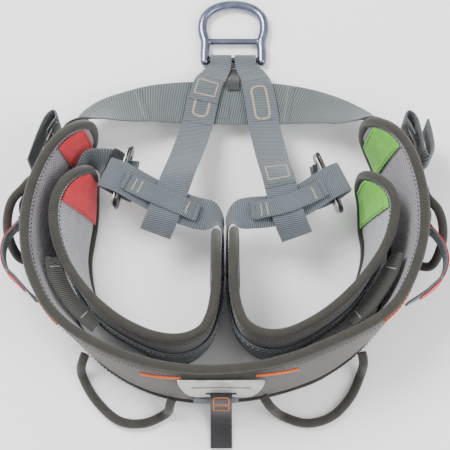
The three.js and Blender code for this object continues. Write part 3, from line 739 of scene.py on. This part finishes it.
# padded parts
waist_start = np.array(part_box("waist_tab_left")[0])
waist = Pad("waist", waist_start, 3 * MM)
leg_left = Pad("leg_pad_left", np.array(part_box("leg_tab_left")[0]), 3 * MM)
leg_right = Pad("leg_pad_right", np.array([0.01, -0.02, 0.05]), 3 * MM)
PADS = {"waist": waist, "leg_pad_left": leg_left, "leg_pad_right": leg_right}

make_pad(waist, "waist", WAIST_MESH, "waist_mesh", seams=(0.13, waist.length - 0.13))
make_pad(leg_left, "leg_pad_left", LEG_MESH, "leg_mesh")
make_pad(leg_right, "leg_pad_right", LEG_MESH, "leg_mesh")
for name, pad in PADS.items():
    make_binding(name)
    edge_seams(pad, black, -1)
    edge_seams(pad, black, 1)

TABS = (
    (waist, "waist_tab_left", RED, "red_tape"),
    (waist, "waist_tab_right", GREEN, "green_tape"),
    (leg_left, "leg_tab_left", RED, "red_tape"),
    (leg_right, "leg_tab_right", GREEN, "green_tape"),
)
for pad, node, material, slot in TABS:
    lift = 2 * GAP + 1.6 * MM
    _, (start, end, low, high) = patch(pad, node, f"{node}_tape", material, slot, -1, lift, full=True)
    face = pad.surface(-1, lift + 1.0 * MM)
    for along in (start + 2 * MM, end - 2 * MM):
        black.row(face.scaled(0.04), [[along, -0.034], [along, 0.034]])

# straps on the harness
belt = Band("belt_webbing", UP)
belt.make("front_belt", BELT, "grey_webbing", columns=9)
for share in (0.285, 0.30, 0.655, 0.67):
    thread = beige if share in (0.285, 0.655) else black
    seam = [[share * belt.length, -0.020], [share * belt.length, 0.020]]
    thread.row(belt, seam, pitch=2.4 * MM, length=1.5 * MM)
black.row(belt, box_path(0.487 * belt.length, 0, 0.020, 0.034), pitch=2.4 * MM, length=1.5 * MM)


def hem(band, name, start, end, material, slot):
    """A second layer of the same webbing sewn onto the outer face between two distances."""
    rows = (band.at >= start) & (band.at <= end)
    layer = Layer(band, rows)
    layer.make(name, material, slot, stands_for=())


SLEEVE_LONG = 11 * MM


class Layer(Band):
    def __init__(self, band, rows, thick=1.2 * MM):
        self.node = band.node
        for key in ("rings", "middle", "side", "half", "out"):
            setattr(self, key, getattr(band, key)[rows])
        self.thick = np.full(rows.sum(), thick)
        self.middle = self.middle + self.out * (band.thick[rows][:, None] / 2 + thick / 2)
        self.half = self.half * 0.97
        self.at = band.at[rows] - band.at[rows][0]
        self.length = self.at[-1]


belt_middle = belt.middle[len(belt.middle) // 2]
for side in ("left", "right"):
    bridge = Band(f"bridge_{side}", UP, share=0.6)
    bridge.make(f"bridge_strap_{side}", STRAP, "grey_webbing")
    over = bridge.at[np.argmin(abs(bridge.middle[:, 1] - belt_middle[1]) + (bridge.at < 0.06))]
    beige.zigzag(bridge, box_path(over + 2 * MM, 0, 0.036, 0.014, corner=5 * MM))
    black.row(bridge, [[over - 0.024, -0.013], [over - 0.024, 0.013]], pitch=2.4 * MM, length=1.5 * MM)
    black.row(bridge, [[over + 0.022, -0.013], [over + 0.022, 0.013]], pitch=2.4 * MM, length=1.5 * MM)
    low_box = bridge.length - 0.066
    hem(bridge, f"bridge_hem_{side}", low_box - 0.016, low_box + 0.014, STRAP, "grey_webbing")
    lifted = Layer(bridge, (bridge.at >= low_box - 0.016) & (bridge.at <= low_box + 0.014))
    beige.zigzag(lifted, box_path(lifted.length / 2, 0, 0.015, 0.020), wide=1.8 * MM)
    black.row(lifted, [[lifted.length - 2 * MM, -0.013], [lifted.length - 2 * MM, 0.013]])

    strap = Band(f"leg_strap_{side}", UP, share=0.6)
    strap.make(f"leg_webbing_{side}", STRAP, "grey_webbing")
    keeper = Band(f"leg_keeper_{side}", UP)
    keeper.make(f"keeper_{side}", STRAP, "grey_webbing")
    for share, row in ((0.12, -1), (0.2, 1), (0.86, 1)):
        at = keeper.length * share
        beige.zigzag(keeper, [[at, -0.0065], [at, 0.0065]], wide=1.6 * MM)
    for end in (0, -1):
        roll = keeper.middle[end] + keeper.out[end] * 1.4 * MM
        ends = np.linspace(-1, 1, 9)[:, None] * keeper.side[end] * keeper.half[end] * 0.96
        which = "outer" if end == 0 else "inner"
        tube(f"keeper_roll_{side}_{which}", roll + ends, 2.1 * MM, STRAP, slot="grey_webbing")

    adjuster = Band(f"leg_adjuster_{side}", outwards(f"leg_adjuster_{side}"), share=0.3)
    adjuster.make(f"adjuster_{side}", STRAP, "grey_webbing")
    low, high = (np.array(corner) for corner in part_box(f"leg_sleeve_{side}"))
    from_sleeve = np.linalg.norm(adjuster.middle - (low + high) / 2, axis=1)
    inside = abs(adjuster.at - adjuster.at[np.argmin(from_sleeve)]) < SLEEVE_LONG / 2
    sleeve = Layer(adjuster, inside)
    sleeve.middle = adjuster.middle[inside]
    sleeve.thick = np.full(inside.sum(), 5.0 * MM)
    sleeve.half = adjuster.half[inside] + 1.6 * MM
    sleeve.make(f"elastic_sleeve_{side}", ELASTIC, "elastic", stands_for=[f"leg_sleeve_{side}"])

    Band(f"side_loop_{side}", outwards(f"side_loop_{side}")).make(f"hip_loop_{side}", STRAP, "grey_webbing")
    hip_lining = Band(f"side_loop_lining_{side}", outwards(f"side_loop_{side}"))
    hip_lining.make(f"hip_loop_lining_{side}", RED, "red_tape")
    hip_anchor = Band(f"side_anchor_{side}", outwards(f"side_anchor_{side}"))
    hip_anchor.make(f"hip_anchor_{side}", STRAP, "grey_webbing")
    suspender = Band(f"suspender_{side}", UP)
    suspender.make(f"suspender_strap_{side}", DARK_STRAP, "dark_webbing")
    for share in (0.12, 0.8):
        at = suspender.length * share
        light.zigzag(suspender, [[at, -0.007], [at, 0.007]], wide=1.4 * MM)
    tail = Band(f"belt_tail_{side}", outwards(f"belt_tail_{side}"), share=0.1)
    tail.make(f"tail_{side}", BELT, "grey_webbing")
tie = Band("bridge_tie", UP)
tie.make("tie", SATIN, "satin_tape")
beige.zigzag(tie, [[tie.length - 2 * MM, -0.0045], [tie.length - 2 * MM, 0.0045]], wide=1.4 * MM)
label = Band("label", np.array([0, -1.0, 0]))
label.make("label_tape", LABEL_TAPE, "label_tape", body="label")
printing = Stitching("label_frames", PRINT, "label")
for share, long in ((0.86, 0.014), (0.62, 0.016)):
    frame_path = box_path(label.length * share, 0, long, 0.014, corner=2 * MM)
    printing.row(label, frame_path, pitch=1.0 * MM, length=1.2 * MM, radius=0.45 * MM)
printing.finish()

for name in ("leg_pad_left", "leg_pad_right"):
    node = name.replace("pad", "band")
    lift = 2 * GAP + SHELL
    web = patch(PADS[name], node, f"{node}_web", STRAP, "grey_webbing", 1, lift, thick=2.0 * MM)
    start, end, _, high = web[1]
    edge = high - 0.08
    face = PADS[name].surface(1, lift + 2.0 * MM)
    light.row(face, [[start, edge], [end, edge]], pitch=4.2 * MM, length=1.4 * MM)
patch(waist, "back_webbing", "back_web", STRAP, "grey_webbing", 1, 2 * GAP + SHELL, thick=2.0 * MM)

GEAR_LOOPS = {"gear_loop_rear": "rear_loop", "gear_loop_side": "side_gear_loop"}
for node, body in GEAR_LOOPS.items():
    for side in ("left", "right"):
        middle, at = evenly(ring_points(f"{node}_{side}", 8).mean(axis=1), 2 * MM)
        from_end = np.minimum(at, at[-1] - at)
        inwards = -unit(middle * (1, 1, 0))
        middle = middle + inwards * (5 * MM * np.clip(1 - from_end / (14 * MM), 0, 1) ** 2)[:, None]
        flat = np.clip(0.45 + from_end / (22 * MM), 0, 1)
        name, moves_with = f"{node}_{side}_sleeve", f"{body}_{side}"
        tube(name, middle, 4.4 * MM, SLEEVE_TAPE, moves_with, [f"{node}_{side}"], "loop_sleeve", flat=flat)


def piping(name, pad, start, end, share, radius=1.3 * MM, lift=0.0):
    """A thin orange cord sewn along a pad's cover."""
    face = pad.surface(1, GAP + SHELL + lift)
    rows = np.arange(start, end, 3 * MM)
    shares = np.broadcast_to(share, len(rows)) if np.isscalar(share) else np.linspace(*share, len(rows))
    tube(name, [face.point(a, s)[0] for a, s in zip(rows, shares)], radius, ORANGE, slot="red_tape")


plate_low, plate_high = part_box("back_plate")
for side, x in (("left", plate_low[0]), ("right", plate_high[0])):
    at = waist.at[np.argmin(np.linalg.norm(waist.middle - np.array([x, plate_low[1], 0.05]), axis=1))]
    start, end = (at - 0.035, at + 0.004) if side == "left" else (at - 0.004, at + 0.035)
    piping(f"piping_back_{side}", waist, start, end, (0.62, 0.86) if side == "left" else (0.86, 0.62))
    hip_start, hip_end = (0.165, 0.205) if side == "left" else (waist.length - 0.205, waist.length - 0.165)
    piping(f"piping_hip_{side}", waist, hip_start, hip_end, 0.93)


# ---- metal
def smooth_metal(node, material, voxel=0.6 * MM):
    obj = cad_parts[node]
    obj.data.materials.clear()
    obj.data.materials.append(material)
    remesh = obj.modifiers.new("even", "REMESH")
    remesh.mode = "VOXEL"
    remesh.voxel_size = voxel
    remesh.use_smooth_shade = True
    smooth = obj.modifiers.new("soften", "SMOOTH")
    smooth.factor = 0.5
    smooth.iterations = 4


smooth_metal("ring", RING_STEEL)
smooth_metal("ring_pin", DARK_ALLOY)
smooth_metal("back_plate", PLATE_ALLOY, 0.5 * MM)
for side in ("left", "right"):
    smooth_metal(f"leg_buckle_frame_{side}", DARK_ALLOY, 0.5 * MM)
    smooth_metal(f"leg_buckle_slider_{side}", PLATE_ALLOY, 0.4 * MM)
    smooth_metal(f"belt_buckle_{side}", DARK_ALLOY, 0.5 * MM)

for stitching in (beige, black, light):
    if stitching.faces:
        stitching.finish()
